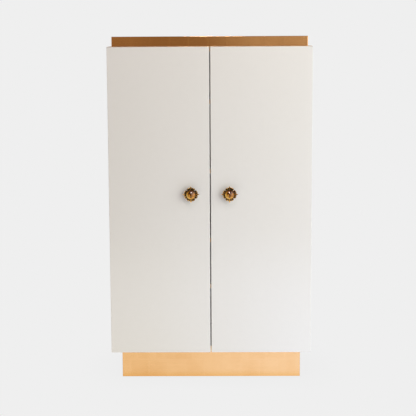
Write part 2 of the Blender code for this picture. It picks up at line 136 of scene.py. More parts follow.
# ================================================================== materials
def lacquer(name, colour, warm, roughness, coat, coat_roughness, peel):
    """Sprayed and polished lacquer: faint clouding, a trace of orange peel, and a long soft waviness."""
    n = Nodes(name)
    at = n.object_coords()
    cloud = n.noise(at, 1.7, 2.0, 0.5)
    fine = n.noise(at, 34.0, 3.0, 0.6)
    speck = n.noise(at, 420.0, 2.0, 0.5)
    tone = n.mix(n.span(cloud, 0.3, 0.7), colour, warm)
    dark = tuple(c * 0.965 for c in warm)
    tone = n.mix(n.span(fine, 0.45, 0.85, 0.0, 0.35), tone, dark)
    tone = n.mix(n.span(speck, 0.66, 0.74, 0.0, 0.10), tone, tuple(c * 0.8 for c in warm))
    wave = n.noise(at, 3.2, 1.0, 0.4)
    orange = n.noise(at, 260.0, 2.0, 0.5)
    bump = n.bump(wave, 0.0016, 0.5)
    bump = n.bump(orange, 0.00002 * peel, 0.6, bump)
    n.set(Base_Color=tone, Roughness=n.span(fine, 0.2, 0.8, roughness - 0.03, roughness + 0.04), Normal=bump,
          IOR=1.5, Coat_Weight=coat, Coat_Roughness=coat_roughness, Coat_IOR=1.5)
    n.plug(bump, n.shader.inputs["Coat Normal"])
    return n.done(colour)


def gold_leaf(name, light, deep, bole, roughness, leaf=0.083, lines=1.0, shift=(0.0, 0.0, 0.0)):
    """Leaf laid in squares: each takes its own tone, they overlap in narrow strips, and a few breaks show the ground."""
    n = Nodes(name)
    at = n.uv(shift=shift)
    wander = n.noise(at, 22.0, 2.0, 0.5, out=1)
    warped = n.add("VectorMath", props={"operation": "MULTIPLY_ADD"}, _0=wander, _1=(0.0022, 0.0022, 0.0),
                   _2=at).outputs[0]

    def squares(mortar, smooth, one, two):
        b = n.add("TexBrick", props={"offset": 0.37, "squash": 1.0}, Vector=warped, Color1=one, Color2=two,
                  Mortar=(0.5, 0.5, 0.5), Scale=1.0, Mortar_Size=mortar, Mortar_Smooth=smooth, Bias=0.0,
                  Brick_Width=leaf, Row_Height=leaf)
        return b.outputs[0], b.outputs[1]

    tone, _ = squares(0.0, 0.0, (0.2, 0.2, 0.2), (0.8, 0.8, 0.8))
    _, lap = squares(0.0028, 0.25, (0, 0, 0), (1, 1, 1))
    _, edge = squares(0.00035, 0.4, (0, 0, 0), (1, 1, 1))
    cloud = n.noise(at, 9.0, 4.0, 0.6)
    mottle = n.noise(at, 75.0, 4.0, 0.65)
    drawn = n.noise(n.uv((3.0, 330.0, 1.0), shift), 1.0, 3.0, 0.6)
    grain = n.noise(n.uv((26.0, 900.0, 1.0), shift), 1.0, 2.0, 0.5)
    mix = n.math("ADD", n.math("MULTIPLY", tone, 0.16), n.math("MULTIPLY", cloud, 0.62))
    mix = n.math("ADD", mix, n.math("MULTIPLY", mottle, 0.07))
    band = n.noise(n.uv((8.0, 0.6, 1.0), shift), 1.0, 2.0, 0.5)
    mix = n.math("ADD", mix, n.math("MULTIPLY", n.math("SUBTRACT", band, 0.5), 0.55))
    mix = n.math("ADD", mix, n.math("MULTIPLY", n.math("SUBTRACT", drawn, 0.5), 0.35 * lines))
    mix = n.math("SUBTRACT", mix, n.math("MULTIPLY", lap, 0.10))
    colour = n.mix(n.span(mix, 0.30, 0.72), light, deep)
    cells = n.add("TexVoronoi", props={"feature": "DISTANCE_TO_EDGE"}, Vector=warped, Scale=41.0, Randomness=1.0)
    crack = n.span(cells, 0.0, 0.010, 1.0, 0.0)
    crack = n.math("MULTIPLY", crack, n.span(n.noise(at, 13.0, 2.0, 0.5), 0.68, 0.78, 0.0, 0.35))
    worn = n.math("MULTIPLY", n.span(edge, 0.5, 1.0), n.span(n.noise(at, 30.0, 2.0, 0.5), 0.54, 0.70, 0.0, 0.35))
    bare = n.math("MAXIMUM", crack, worn, clamp=True)
    colour = n.mix(n.math("MULTIPLY", bare, 0.55), colour, bole)
    rough = n.span(n.math("ADD", n.math("MULTIPLY", cloud, 0.7), n.math("MULTIPLY", tone, 0.3)), 0.25, 0.75,
                   roughness - 0.03, roughness + 0.04)
    rough = n.math("ADD", rough, n.math("MULTIPLY", bare, 0.25), clamp=True)
    bump = n.bump(n.noise(at, 90.0, 2.0, 0.5), 0.00005, 0.25)
    bump = n.bump(n.math("ADD", n.math("MULTIPLY", drawn, 0.6), n.math("MULTIPLY", grain, 0.4)), 0.00006, 0.35 * lines,
                  bump)
    bump = n.bump(n.math("SUBTRACT", lap, n.math("MULTIPLY", bare, 1.5)), 0.00004, 0.5, bump)
    n.set(Base_Color=colour, Metallic=n.span(bare, 0.0, 1.0, 1.0, 0.55), Roughness=rough, Normal=bump,
          Coat_Weight=0.35, Coat_Roughness=0.12, Coat_IOR=1.45)
    return n.done(light)


def brass(name, colour, deep, patina, roughness):
    """Cast and polished brass. The mesh's 'patina' attribute is 1 in the hollows, which stay dark."""
    n = Nodes(name)
    at = n.object_coords()
    hollow = n.tree.nodes.new("ShaderNodeAttribute")
    hollow.attribute_name = "patina"
    mottle = n.noise(at, 240.0, 3.0, 0.6)
    fine = n.noise(at, 1500.0, 2.0, 0.5)
    dark = n.math("ADD", hollow.outputs["Fac"], n.math("MULTIPLY", n.math("SUBTRACT", mottle, 0.5), 0.55))
    dark = n.span(dark, 0.25, 0.80, smooth=True)
    tone = n.mix(n.span(mottle, 0.35, 0.7), colour, deep)
    tone = n.mix(dark, tone, patina)
    rough = n.math("ADD", n.span(fine, 0.3, 0.7, roughness - 0.04, roughness + 0.06), n.math("MULTIPLY", dark, 0.26))
    n.set(Base_Color=tone, Metallic=n.span(dark, 0.0, 1.0, 1.0, 0.7), Roughness=rough,
          Normal=n.bump(mottle, 0.00005, 0.5))
    return n.done(colour)


def plated(name, colour, dull, roughness, grain=(1, 1, 1)):
    """Plated or turned steel with a light directional finish and faint handling marks."""
    n = Nodes(name)
    at = n.object_coords()
    drawn = n.noise(n.object_coords(grain), 900.0, 2.0, 0.5)
    mark = n.noise(at, 130.0, 4.0, 0.65)
    tone = n.mix(n.span(mark, 0.40, 0.75), colour, dull)
    n.set(Base_Color=tone, Metallic=1.0, Roughness=n.span(mark, 0.3, 0.75, roughness - 0.05, roughness + 0.10),
          Normal=n.bump(drawn, 0.00001, 0.5))
    return n.done(colour)


def amber_glass(name):
    """Cut amber glass whose colour is painted light: painted dark through its upper middle, a painted gold glow along
    its lower facets and its rim.
    """
    n = Nodes(name)
    facet = n.tree.nodes.new("ShaderNodeAttribute")
    facet.attribute_name = "fire"
    at = n.object_coords()
    streak_glow_and_bump = n.noise(at, 160.0, 3.0, 0.6, 0.6)
    inner = n.add("TexVoronoi", Vector=at, Scale=230.0, Randomness=1.0).outputs["Color"]      # painted reflections of the back facets, as if seen through the glass
    painted_glint = n.add("SeparateColor", Color=inner).outputs[0]
    # painted glow: the facets' painted light with painted internal streaks and glints, turned into amber colour by the
    # ramp below
    glow = n.math("ADD", facet.outputs["Fac"], n.math("MULTIPLY", n.math("SUBTRACT", streak_glow_and_bump, 0.5), 0.35))
    glow = n.math("ADD", glow, n.math("MULTIPLY", n.math("SUBTRACT", painted_glint, 0.5), 0.36))
    ramp = n.tree.nodes.new("ShaderNodeValToRGB")
    stops = ((0.0, (0.040, 0.010, 0.002)), (0.25, (0.15, 0.042, 0.002)), (0.5, (0.48, 0.18, 0.008)),
             (0.75, (0.84, 0.42, 0.045)), (1.0, (0.98, 0.66, 0.18)))
    while len(ramp.color_ramp.elements) < len(stops):
        ramp.color_ramp.elements.new(0.5)
    for element, (where, rgb) in zip(ramp.color_ramp.elements, stops):
        element.position = where
        element.color = (*rgb, 1.0)
    n.plug(glow, ramp.inputs[0])
    n.set(Base_Color=ramp.outputs[0], Metallic=0.25, Roughness=0.05, IOR=1.38, Coat_Weight=0.35, Coat_Roughness=0.02,
          Coat_IOR=1.5, Normal=n.bump(streak_glow_and_bump, 0.00003, 0.3))
    return n.done((0.6, 0.27, 0.05))


def soft(name, colour, roughness, scatter=0.0):
    """Moulded nylon or polyurethane with a fine moulded texture."""
    n = Nodes(name)
    at = n.object_coords()
    fine = n.noise(at, 1400.0, 2.0, 0.5)
    mark = n.noise(at, 220.0, 3.0, 0.6)
    tone = n.mix(n.span(mark, 0.35, 0.75), colour, tuple(c * 0.8 for c in colour))
    n.set(Base_Color=tone, Roughness=n.span(mark, 0.3, 0.7, roughness - 0.05, roughness + 0.1),
          Normal=n.bump(fine, 0.00003, 0.5), Transmission_Weight=scatter)
    return n.done(colour)


LACQUER = lacquer("ivory_lacquer", (0.800, 0.775, 0.735), (0.792, 0.764, 0.716), 0.20, 1.0, 0.07, 1.0)
SATIN = lacquer("ivory_satin", (0.775, 0.748, 0.700), (0.762, 0.730, 0.676), 0.42, 0.25, 0.30, 2.0)
GILT_PLINTH = gold_leaf("gold_leaf_plinth", (1.0, 0.615, 0.290), (0.93, 0.530, 0.220), (0.30, 0.09, 0.03), 0.24)
GILT_CROWN = gold_leaf("gold_leaf_crown", (1.0, 0.60, 0.285), (0.92, 0.51, 0.215), (0.20, 0.055, 0.02), 0.10,
                       lines=1.6, shift=(0.31, 0.02, 0.0))
# painted shade: a darker copy of the crown's gold for the top face, to dim the lamps' reflection there
GILT_TOP_SHADED = gold_leaf("gold_leaf_crown_top_painted_shade", (0.84, 0.49, 0.215), (0.76, 0.41, 0.165), (0.20, 0.055, 0.02), 0.52,
                     shift=(0.07, 0.21, 0.0))
GILT_EDGE = gold_leaf("gold_leaf_edges", (1.0, 0.70, 0.36), (0.92, 0.60, 0.28), (0.30, 0.09, 0.03), 0.34,
                      shift=(0.11, 0.05, 0.0))
BRASS = brass("knob_brass", (0.90, 0.58, 0.22), (0.72, 0.42, 0.13), (0.035, 0.020, 0.010), 0.16)
AMBER = amber_glass("knob_amber_glass")
NICKEL = plated("hinge_nickel", (0.70, 0.69, 0.66), (0.55, 0.54, 0.51), 0.24, (1, 1, 0.15))
STEEL = plated("pin_steel", (0.60, 0.585, 0.56), (0.44, 0.43, 0.41), 0.30, (0.15, 1, 1))
NYLON = soft("glide_nylon", (0.030, 0.030, 0.032), 0.45)
CLEAR = soft("bumper_polyurethane", (0.84, 0.84, 0.80), 0.30, 0.35)


# ================================================================ mesh helpers
def to_mesh(bm, name):
    mesh = bpy.data.meshes.new(name)
    bm.to_mesh(mesh)
    bm.free()
    return mesh


def box_uv(mesh):
    """Texture coordinates in metres, laid on each face along its own main direction."""
    layer = mesh.uv_layers.get("UVMap") or mesh.uv_layers.new(name="UVMap")
    co = [v.co for v in mesh.vertices]
    for p in mesh.polygons:
        a = [abs(c) for c in p.normal]
        k = a.index(max(a))
        for i in p.loop_indices:
            c = co[mesh.loops[i].vertex_index]
            layer.data[i].uv = ((c.y, c.z), (c.x, c.z), (c.x, c.y))[k]


def show(name, mesh, mats, body, stands_for=(), smooth=40.0, weighted=True, at=None):
    """A finished piece: its material slots, its shading, and the CAD body it rides on."""
    if not isinstance(mats, (list, tuple)):
        mats = [mats]
    if not mesh.materials:
        for m in mats:
            mesh.materials.append(m)
    o = bpy.data.objects.new(name, mesh)
    LINK(o)
    if at is not None:
        o.location = at
    if smooth:
        mesh.shade_smooth()
        mesh.set_sharp_from_angle(angle=math.radians(smooth))
    if weighted:
        m = o.modifiers.new("weighted normals", "WEIGHTED_NORMAL")
        m.keep_sharp = True
        m.weight = 80
    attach(o, body)
    if stands_for:
        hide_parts(*stands_for)
    return o


def cuboid(bm, lo, hi, radius=0.0, segments=1, keep=None):
    """A box with rounded edges. keep(edge) says which edges are rounded."""
    made = bmesh.ops.create_cube(bm, size=1.0)
    lo, hi = Vector(lo), Vector(hi)
    bmesh.ops.scale(bm, vec=hi - lo, verts=made["verts"])
    bmesh.ops.translate(bm, vec=(lo + hi) / 2, verts=made["verts"])
    if radius:
        edges = list({e for v in made["verts"] for e in v.link_edges})
        if keep:
            edges = [e for e in edges if keep(e)]
        bmesh.ops.bevel(bm, geom=edges, offset=radius, segments=segments, profile=0.5, affect="EDGES")


def lathe(bm, profile, segments, axis="Y", centre=(0, 0, 0)):
    """A closed turned body from a profile of (radius, height) that starts and ends on the axis."""
    rings = []
    for r, h in profile:
        ring = []
        for k in range(segments if r > 1e-9 else 1):
            a = 2 * math.pi * k / segments
            c, s = r * math.cos(a), r * math.sin(a)
            p = {"X": (h, c, s), "Y": (c, h, s), "Z": (c, s, h)}[axis]
            ring.append(bm.verts.new(Vector(centre) + Vector(p)))
        rings.append(ring)
    for one, two in zip(rings, rings[1:]):
        for k in range(segments):
            j = (k + 1) % segments
            if len(one) == 1:
                bm.faces.new((one[0], two[k], two[j]))
            elif len(two) == 1:
                bm.faces.new((one[k], one[j], two[0]))
            else:
                bm.faces.new((one[k], one[j], two[j], two[k]))
    bmesh.ops.recalc_face_normals(bm, faces=bm.faces)


def subtract(mesh, cutters):
    """The mesh with the cutters' shapes taken out of it, in one exact Boolean."""
    o = bpy.data.objects.new("cutting", mesh)
    LINK(o)
    tools = []
    for c in cutters:
        t = bpy.data.objects.new("cutting_tool", c)
        LINK(t)
        m = o.modifiers.new("cut", "BOOLEAN")
        m.operation, m.solver, m.object = "DIFFERENCE", "EXACT", t
        tools.append(t)
    bpy.context.view_layer.update()
    made = bpy.data.meshes.new_from_object(o.evaluated_get(bpy.context.evaluated_depsgraph_get()))
    for t in [o, *tools]:
        bpy.data.objects.remove(t)
    made.materials.clear()
    return made


def rods(items, axis, segments=24):
    """Cylinders as one cutter mesh: (centre, radius, length)."""
    bm = bmesh.new()
    for c, r, length in items:
        turn = {"X": Matrix.Rotation(math.pi / 2, 4, "Y"), "Y": Matrix.Rotation(-math.pi / 2, 4, "X"),
                "Z": Matrix.Identity(4)}[axis]
        bmesh.ops.create_cone(bm, cap_ends=True, segments=segments, radius1=r, radius2=r, depth=length,
                              matrix=Matrix.Translation(c) @ turn)
    bmesh.ops.recalc_face_normals(bm, faces=bm.faces)
    return to_mesh(bm, "rods")


def boxes(items):
    bm = bmesh.new()
    for lo, hi in items:
        cuboid(bm, lo, hi)
    return to_mesh(bm, "boxes")


def gild_front(mesh, y, depth=0.0022):
    """The second material goes on the faces at the front edge, and round its arris."""
    for p in mesh.polygons:
        p.material_index = 1 if p.center.y < y + depth and p.normal.y < -0.25 else 0


# ==================================================================== carcase
def board(name, node, radius, mats, body, gilded=False, cutters=(), grow=(0, 0, 0, 0, 0, 0)):
    lo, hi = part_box(node)
    bm = bmesh.new()
    cuboid(bm, lo, hi, radius, 3)
    mesh = to_mesh(bm, name)
    if cutters:
        mesh = subtract(mesh, cutters)
        mesh.name = name
    if gilded:
        gild_front(mesh, lo.y)
    box_uv(mesh)
    return show(name, mesh, mats, body, (node,))


Z_SHELVES = {n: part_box(n) for n in ("shelf_lower_adjustable", "shelf_middle_fixed", "shelf_upper_fixed",
                                    "shelf_top_adjustable")}
back_lo, back_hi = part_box("back_panel")
for side, s in (("left", -1), ("right", 1)):
    lo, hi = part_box(f"side_panel_{side}")
    inner = hi.x if s < 0 else lo.x
    dado = []
    for n in ("shelf_middle_fixed", "shelf_upper_fixed"):
        a, b = Z_SHELVES[n]
        dado.append(((min(inner - s * -0.001, inner + s * 0.0063), lo.y - 0.001, a.z - 0.0002),
                     (max(inner - s * 0.001, inner + s * 0.0063), hi.y + 0.001, b.z + 0.0002)))
    x0, x1 = sorted((inner - s * 0.001, inner + s * 0.0101))
    rebate = ((x0, back_lo.y - 0.0003, lo.z - 0.001), (x1, hi.y + 0.001, hi.z + 0.001))
    holes = []
    for label in ("lower", "top"):
        for where in ("front", "back"):
            a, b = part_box(f"shelf_pin_{label}_{where}_{side}")
            y, z = (a.y + b.y) / 2, (a.z + b.z) / 2
            for k in (-2, -1, 0, 1, 2):
                holes.append(((inner + s * 0.004, y, z + k * 0.032), 0.00265, 0.010))
    dado = [tuple(Vector((min(p[0], q[0]), p[1], p[2])) if i == 0 else Vector((max(p[0], q[0]), q[1], q[2]))
                  for i, (p, q) in enumerate(((d[0], d[1]), (d[0], d[1])))) for d in dado]
    board(f"cabinet_side_{side}", f"side_panel_{side}", 0.0012, [LACQUER, GILT_EDGE], "cabinet", True,
          [rods(holes, "X"), boxes(dado), boxes([rebate])])

board("cabinet_top", "top_panel", 0.0007, [LACQUER, GILT_EDGE], "cabinet", True)
board("cabinet_bottom", "bottom_panel", 0.0007, [LACQUER, GILT_EDGE], "cabinet", True)
board("cabinet_back", "back_panel", 0.0005, [SATIN], "cabinet")
for n in Z_SHELVES:
    board(n.replace("shelf", "cabinet_shelf"), n, 0.0009, [SATIN, GILT_EDGE], "cabinet", True)
crown = board("cabinet_crown", "crown", 0.0014, [GILT_CROWN, GILT_TOP_SHADED], "cabinet")
for face in crown.data.polygons:                          # the top is rougher than the edges, and its leaf is painted darker as shade that dims the lamps' reflection on it
    face.material_index = 1 if face.normal.z > 0.98 else 0



def back_screws():
    """Low countersunk screws that hold the back panel in its rebates and to the two fixed shelves."""
    lo, hi = back_lo, back_hi
    spots = []
    for k in range(7):
        z = lo.z + 0.045 + k * (hi.z - lo.z - 0.090) / 6
        spots += [(lo.x + 0.0055, z), (hi.x - 0.0055, z)]
    for z in (lo.z + 0.012, hi.z - 0.012, *((Z_SHELVES[n][0].z + Z_SHELVES[n][1].z) / 2
                                            for n in ("shelf_middle_fixed", "shelf_upper_fixed"))):
        spots += [(x, z) for x in (-0.285, -0.095, 0.095, 0.285)]
    whole = bmesh.new()
    for i, (x, z) in enumerate(spots):
        one = bmesh.new()
        lathe(one, [(0, -0.0030), (0.0012, -0.0030), (0.0036, -0.0003), (0.0037, 0.0), (0.0033, 0.00022), (0.0018, 0.00038),
                    (0, 0.00042)], 28)
        mesh = to_mesh(one, "screw")
        cross = []
        for w, h in ((0.0038, 0.0008), (0.0008, 0.0038)):
            bit = bmesh.new()
            cuboid(bit, (-w / 2, -0.0010, -h / 2), (w / 2, 0.002, h / 2))
            cross.append(to_mesh(bit, "recess"))
        mesh = subtract(mesh, cross)
        mesh.transform(Matrix.Translation((x, hi.y, z)) @ Matrix.Rotation(0.7 * i, 4, "Y"))
        whole.from_mesh(mesh)
    mesh = to_mesh(whole, "back_panel_screws")
    box_uv(mesh)
    return show("back_panel_screws", mesh, [STEEL], "cabinet", (), 35)


back_screws()


def plinth_piece(name, node, along):
    """A mitred plinth board: its outer face and its ends' mitres, with softened arrises."""
    lo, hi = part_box(node)
    t = 0.022
    if along == "front":
        outline = [(lo.x, lo.y), (hi.x, lo.y), (hi.x - t, hi.y), (lo.x + t, hi.y)]
    elif along == "back":
        outline = [(lo.x, hi.y), (lo.x + t, lo.y), (hi.x - t, lo.y), (hi.x, hi.y)]
    elif along == "left":
        outline = [(lo.x, lo.y), (hi.x, lo.y + t), (hi.x, hi.y - t), (lo.x, hi.y)]
    else:
        outline = [(hi.x, lo.y), (hi.x, hi.y), (lo.x, hi.y - t), (lo.x, lo.y + t)]
    bm = bmesh.new()
    low = [bm.verts.new((x, y, lo.z)) for x, y in outline]
    top = [bm.verts.new((x, y, hi.z)) for x, y in outline]
    bm.faces.new(low[::-1])
    bm.faces.new(top)
    for i in range(4):
        j = (i + 1) % 4
        bm.faces.new((low[i], low[j], top[j], top[i]))
    bmesh.ops.recalc_face_normals(bm, faces=bm.faces)
    bmesh.ops.bevel(bm, geom=list(bm.edges), offset=0.0006, segments=2, profile=0.5, affect="EDGES")
    mesh = to_mesh(bm, name)
    box_uv(mesh)
    return show(name, mesh, [GILT_PLINTH], "cabinet", (node,))


for along in ("front", "back", "left", "right"):
    plinth_piece(f"plinth_board_{along}", f"plinth_{along}", along)

# ====================================================================== doors
KNOB = {}
for side, s in (("left", -1), ("right", 1)):
    node = f"door_{side}"
    lo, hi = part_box(node)
    cups, screws = [], []
    for label in ("bottom", "middle", "top"):
        a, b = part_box(f"hinge_cup_{label}_{side}")
        c = Vector((s * (0.4445 - 0.0205), hi.y - 0.0138 + 0.010, (a.z + b.z) / 2))
        cups.append((c, 0.0175, 0.020))
    a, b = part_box(f"knob_star_{side}")
    KNOB[side] = Vector(((a.x + b.x) / 2, lo.y, (a.z + b.z) / 2))
    hole = [((KNOB[side].x, (lo.y + hi.y) / 2, KNOB[side].z), 0.0026, 0.026)]
    bm = bmesh.new()
    cuboid(bm, lo, hi, 0.0016, 4)
    mesh = subtract(to_mesh(bm, node), [rods(cups, "Y", 64), rods(hole, "Y", 24)])
    mesh.name = f"door_panel_{side}"
    box_uv(mesh)
    show(f"door_panel_{side}", mesh, [LACQUER], BODY[side], (node,))


# ====================================================================== knobs
# Built at the origin in millimetres, then scaled: p is the distance in front of the door, towards -Y.
def knob_point(r, a, p):
    """a turns from straight up, towards +X."""
    return Vector((r * math.sin(a), -p, r * math.cos(a))) * MM


def set_patina(mesh, values, name="patina"):
    layer = mesh.attributes.new(name, "FLOAT", "POINT")
    layer.data.foreach_set("value", values)


def smooth_step(x, lo, hi):
    t = max(0.0, min(1.0, (x - lo) / (hi - lo)))
    return t * t * (3 - 2 * t)


def foot_mesh():
    """The turned foot and stem, with a rolled rim, two grooves and a collar under the dish."""
    profile = [(0, 0.3), (15.9, 0.3)]
    for k in range(9):                                    # rolled rim
        t = math.pi * k / 8
        profile.append((15.9 + 1.1 * math.sin(t), 1.4 - 1.1 * math.cos(t)))
    profile += [(15.0, 2.35), (14.6, 2.1), (14.2, 2.35), (13.0, 3.0), (11.2, 3.7), (10.6, 3.5), (10.1, 3.9),
                (9.3, 5.0), (8.6, 6.4), (8.1, 8.0), (8.0, 9.6), (8.2, 11.0), (8.7, 12.4), (9.6, 13.6), (10.8, 14.5),
                (11.9, 15.1), (12.4, 15.6), (12.4, 16.0), (0, 16.0)]
    bm = bmesh.new()
    lathe(bm, [(r * MM, -p * MM) for r, p in profile], 64)
    mesh = to_mesh(bm, "knob_foot")
    values = []
    for v in mesh.vertices:
        r = math.hypot(v.co.x, v.co.z) / MM
        p = -v.co.y / MM
        groove = max(0.0, 1.0 - abs(r - 14.6) / 0.5) + max(0.0, 1.0 - abs(r - 10.6) / 0.6)
        values.append(min(1.0, 0.25 + groove + 0.5 * smooth_step(p, 11.0, 15.5)))
    set_patina(mesh, values)
    return mesh


def lance(t):
    """A long pointed petal's half width: full at the root, with slightly hollow flanks towards the tip."""
    return max(0.012, (1.0 - t ** 1.5) ** 1.15)


def spoon(t):
    """A short round petal's half width: narrow at the root, widest near two thirds, closed by a half ellipse."""
    if t < 0.62:
        return 0.55 + 0.45 * smooth_step(t, 0.0, 0.62)
    return max(0.012, math.sqrt(max(0.0, 1.0 - ((t - 0.62) / 0.38) ** 2)))


def petal(bm, marks, a0, reach, rise, half, outline, cup, spine, thick, curl, dark, steps=18, across=18):
    """One cast petal. reach and rise are its radius and height from root to tip, cup raises its sides, spine is its
    midrib's height, curl turns its tip back, and dark is how much patina stays on it between the midrib and the rim."""
    front, back = [], []
    for i in range(steps + 1):
        t = (i / steps) ** 0.92
        w = half * outline(t)
        r = reach[0] + (reach[1] - reach[0]) * t
        base = rise[0] + (rise[1] - rise[0]) * t ** 1.35 - curl * smooth_step(t, 0.70, 1.0) ** 2
        row_f, row_b = [], []
        for j in range(across + 1):
            s = 2 * j / across - 1
            lateral = w * s
            a = a0 + math.atan2(lateral, r)
            rr = math.hypot(lateral, r)
            rib = math.exp(-(lateral / 0.95) ** 2)
            edge = smooth_step(abs(s), 0.66, 0.86) * (1 - smooth_step(abs(s), 0.95, 1.0))
            end = smooth_step(t, 0.76, 0.93)
            p = (base + cup * s * s * (0.35 + 0.65 * t) * (1 - 0.6 * t) + spine * rib * (0.35 + 0.65 * smooth_step(t, 0.0, 0.4))
                 + 0.40 * edge - 0.45 * smooth_step(abs(s), 0.90, 1.0))
            th = thick * (1.0 - 0.45 * t) * (1.0 - 0.45 * smooth_step(abs(s), 0.7, 1.0))
            row_f.append(bm.verts.new(knob_point(rr, a, p)))
            row_b.append(bm.verts.new(knob_point(rr, a, p - th)))
            bright = max(rib * smooth_step(t, 0.15, 0.5), 0.85 * edge * smooth_step(t, 0.2, 0.5), end)
            marks.append(max(0.0, min(1.0, max(dark, 0.95 * (1 - smooth_step(t, 0.05, 0.35))) * (1 - 0.92 * bright))))
            marks.append(0.6)
        front.append(row_f)
        back.append(row_b)
    for i in range(steps):
        for j in range(across):
            bm.faces.new((front[i][j], front[i][j + 1], front[i + 1][j + 1], front[i + 1][j]))
            bm.faces.new((back[i][j], back[i + 1][j], back[i + 1][j + 1], back[i][j + 1]))
        for j in (0, across):
            bm.faces.new((front[i][j], back[i][j], back[i + 1][j], front[i + 1][j]))
    for j in range(across):
        for i in (0, steps):
            bm.faces.new((front[i][j], front[i][j + 1], back[i][j + 1], back[i][j]))


def flower_mesh():
    """The dish: four long pointed petals behind, and a ring of eight short round ones before them."""
    bm = bmesh.new()
    marks = []
    for k in range(4):
        petal(bm, marks, k * math.pi / 2, (15.0, 37.3), (18.4, 27.2), 9.4, lance, 1.0, 1.15, 1.9, 0.9, 0.15)
    for k in range(8):
        up = 0.35 if k % 2 else 0.0
        petal(bm, marks, (k + 0.5) * math.pi / 4, (15.5, 30.8), (19.0 + up, 25.2 + up), 9.3, spoon, 1.5, 0.70, 1.7, 1.3,
              0.74)
    bmesh.ops.recalc_face_normals(bm, faces=bm.faces)
    mesh = to_mesh(bm, "knob_flower")
    set_patina(mesh, marks)
    return mesh


def seat_mesh():
    """The cup that the stone sits in, on the flower's middle."""
    profile = [(0, 16.4), (12.0, 16.4), (15.0, 16.8), (18.0, 17.7), (20.4, 18.6), (20.9, 19.2), (20.4, 19.5), (0, 19.5)]
    bm = bmesh.new()
    lathe(bm, [(r * MM, -p * MM) for r, p in profile], 64)
    mesh = to_mesh(bm, "knob_seat")
    set_patina(mesh, [0.85] * len(mesh.vertices))
    return mesh


def claws_mesh():
    """Sixteen pointed sepals in two rows that rise round the stone."""
    bm = bmesh.new()
    marks = []
    for tip_r, tip_p, base_r, base_p, width, turn in ((22.2, 35.5, 19.5, 19.9, 5.0, 0.5),
                                                      (21.7, 32.2, 18.9, 19.9, 5.2, 0.0)):
        for k in range(8):
            a0 = (k + turn) * math.pi / 4
            steps, across = 14, 10
            front, back = [], []
            for i in range(steps + 1):
                t = i / steps
                half = width * max(0.03, (1 - t ** 2.2) ** 0.9)
                bulge = 1.1 * math.sin(math.pi * t * 0.8)
                r = base_r + (tip_r - base_r) * t + bulge
                p = base_p + (tip_p - base_p) * t
                rf, rb = [], []
                for j in range(across + 1):
                    s = 2 * j / across - 1
                    a = a0 + half * s / r
                    rib = math.exp(-((s / 0.20) ** 2))
                    out = 0.45 * rib - 0.4 * smooth_step(abs(s), 0.7, 1.0)
                    rf.append(bm.verts.new(knob_point(min(23.1, r + out), a, p)))
                    rb.append(bm.verts.new(knob_point(min(22.5, r + out) - 1.0 * (1 - 0.4 * t), a, p)))
                    bright = max(smooth_step(t, 0.62, 0.85), rib * smooth_step(t, 0.25, 0.5))
                    marks.append(0.95 * (1 - 0.9 * bright))
                    marks.append(0.7)
                front.append(rf)
                back.append(rb)
            for i in range(steps):
                for j in range(across):
                    bm.faces.new((front[i][j], front[i][j + 1], front[i + 1][j + 1], front[i + 1][j]))
                    bm.faces.new((back[i][j], back[i + 1][j], back[i + 1][j + 1], back[i][j + 1]))
                for j in (0, across):
                    bm.faces.new((front[i][j], back[i][j], back[i + 1][j], front[i + 1][j]))
            for j in range(across):
                for i in (0, steps):
                    bm.faces.new((front[i][j], front[i][j + 1], back[i][j + 1], back[i][j]))
    bmesh.ops.recalc_face_normals(bm, faces=bm.faces)
    mesh = to_mesh(bm, "knob_claws")
    set_patina(mesh, marks)
    return mesh


def stone_mesh():
    """A cut stone: a small octagonal table, sixteen triangular facets round it, a row of crown facets above the
    girdle and a pavilion behind. Each facet carries painted light for its colour: painted dark above, a painted glow
    below."""
    rings = [(2.0, 20.3, 8, 0.0), (11.2, 26.2, 8, 0.5), (20.0, 33.2, 16, 0.0), (20.0, 34.1, 16, 0.0),
             (14.0, 39.2, 8, 0.5), (5.0, 44.0, 8, 0.0)]
    bm = bmesh.new()
    for r, p, n, shift in rings:
        for k in range(n):
            bm.verts.new(knob_point(r, 2 * math.pi * (k + shift) / n, p))
    bmesh.ops.convex_hull(bm, input=bm.verts)
    bmesh.ops.dissolve_limit(bm, angle_limit=math.radians(1.0), verts=bm.verts, edges=bm.edges)
    bmesh.ops.recalc_face_normals(bm, faces=bm.faces)
    bmesh.ops.bevel(bm, geom=list(bm.edges), offset=0.00016, segments=2, profile=0.5, affect="EDGES")
    mesh = to_mesh(bm, "knob_stone")
    layer = mesh.attributes.new("fire", "FLOAT", "CORNER")
    # painted light per facet: dark above, a painted glow below and to the sides, painted shade on the right, and random
    # painted reflections from facet to facet
    for f in mesh.polygons:
        c, n = f.center / MM, f.normal
        r = math.hypot(c.x, c.z)
        turn = math.atan2(c.x, c.z)                                 # 0 straight up
        facet = round(turn / (math.pi / 8))
        odd = 0.5 + 0.5 * math.sin(12.9898 * facet + 4.1 * round(r / 4.0))
        below = 0.5 - 0.5 * math.cos(turn)
        beside = abs(math.sin(turn))
        painted_right_shade = 1.0 - 0.42 * smooth_step(math.sin(turn), -0.1, 0.8)     # painted shade: the facets on the right are painted darker, as if light entering from the right left the glass on the left
        if f.area < 4e-6:                                           # the softened edges between facets
            value = 0.30 + 0.55 * below
        elif r < 2.0:                                               # table
            value = 0.22
        elif r < 13.0:
            value = (0.03 + 0.12 * below + 0.52 * beside * smooth_step(below, 0.15, 0.5)) * painted_right_shade + 0.22 * (odd - 0.5)
        else:
            value = (0.14 + 0.40 * below + 0.34 * beside) * painted_right_shade + 0.36 * (odd - 0.5)
        # within each facet the painted light grows downward and outward
        for i in f.loop_indices:
            v = mesh.vertices[mesh.loops[i].vertex_index].co / MM
            layer.data[i].value = max(0.0, min(1.0, value + 0.012 * (-(v.z - c.z)) + 0.010 * (math.hypot(v.x, v.z) - r)))
    return mesh


